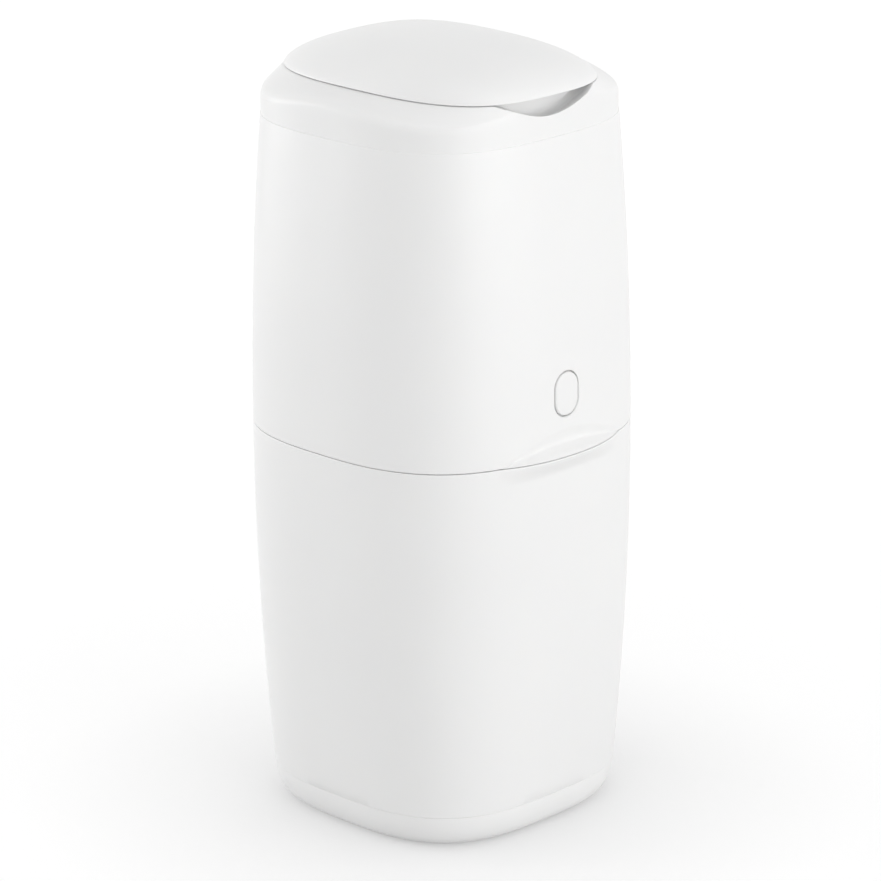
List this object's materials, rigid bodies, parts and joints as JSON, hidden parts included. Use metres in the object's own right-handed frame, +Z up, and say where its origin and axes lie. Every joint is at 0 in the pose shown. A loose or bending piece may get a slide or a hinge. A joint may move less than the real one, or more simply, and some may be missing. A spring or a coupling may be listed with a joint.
{
  "type": "nappy bin",
  "caption": "Square-rounded nappy bin: tilting upper half with push-button latch, hinged domed lid, lift-out film cassette and spring-shut jaws.",
  "frame": {"origin": "centre of the footprint, on the floor", "axes": "+Z up; the front with the button and the scoop faces -Y; +X to the viewer's right when facing the front"},
  "size_m": [0.25, 0.2635, 0.5763],
  "materials": {
    "shell_white": "satin moulded plastic",
    "inner_white": "fine matt moulded plastic",
    "jaw_plastic": "fine matt moulded plastic",
    "steel": "plain drawn steel",
    "rubber_grey": "matt soft rubber",
    "film": "thin folded film"
  },
  "bodies": {
    "base": {"base_tub": "shell_white", "foot_pads": "rubber_grey", "latch_keeper": "steel", "keeper_screws": "steel", "body_hinge_pin": "steel"},
    "upper": {"upper_body": "shell_white", "latch_bracket": "inner_white", "bracket_screws": "steel", "latch_pin": "steel", "latch_spring": "steel", "top_collar": "shell_white", "cassette_cradle": "inner_white", "jaw_box": "inner_white", "jaw_box_screws": "steel", "jaw_axle_left": "steel", "jaw_axle_right": "steel", "jaw_spring_left": "steel", "jaw_spring_right": "steel", "lid_hinge_pin": "steel", "button_spring": "steel"},
    "lid": {"lid_shell": "shell_white", "lid_liner": "inner_white", "lid_seal": "rubber_grey", "lid_screws": "steel"},
    "button": {"release_button": "shell_white"},
    "hook": {"latch_hook": "steel"},
    "left_jaw": {"jaw_left": "jaw_plastic", "jaw_lip_left": "rubber_grey"},
    "right_jaw": {"jaw_right": "jaw_plastic", "jaw_lip_right": "rubber_grey"},
    "cassette": {"cassette_tub": "inner_white", "cassette_cap": "inner_white", "film_pack": "film"}
  },
  "joints": [
    {"name": "upper_tilt", "type": "hinge", "parent": "base", "child": "upper", "pos_m": [0, 0.1245, 0.291], "axis": [-1, 0, 0], "range_deg": [0, 95]},
    {"name": "lid_hinge", "type": "hinge", "parent": "upper", "child": "lid", "pos_m": [0, 0.1075, 0.547], "axis": [-1, 0, 0], "range_deg": [0, 95]},
    {"name": "button_push", "type": "slide", "parent": "upper", "child": "button", "axis": [0, 1, 0], "range_m": [0, 0.0032], "stiffness_N_per_m": 800, "springref_m": -0.003, "deforming": ["button_spring"]},
    {"name": "hook_turn", "type": "hinge", "parent": "upper", "child": "hook", "pos_m": [0, -0.10205, 0.316], "axis": [-1, 0, 0], "range_deg": [0, 9.9]},
    {"name": "left_jaw_turn", "type": "hinge", "parent": "upper", "child": "left_jaw", "pos_m": [-0.045, 0, 0.464], "axis": [0, 1, 0], "range_deg": [0, 60], "stiffness_Nm_per_rad": 0.05, "springref_deg": -28.65},
    {"name": "right_jaw_turn", "type": "hinge", "parent": "upper", "child": "right_jaw", "pos_m": [0.045, 0, 0.464], "axis": [0, -1, 0], "range_deg": [0, 60], "stiffness_Nm_per_rad": 0.05, "springref_deg": -28.65},
    {"name": "cassette_lift", "type": "slide", "parent": "upper", "child": "cassette", "axis": [0, 0, 1], "range_m": [0, 0.009]}
  ],
  "couplings": [
    {"joint": "hook_turn", "follows": "button_push", "rad_per_m": 53.5}
  ]
}
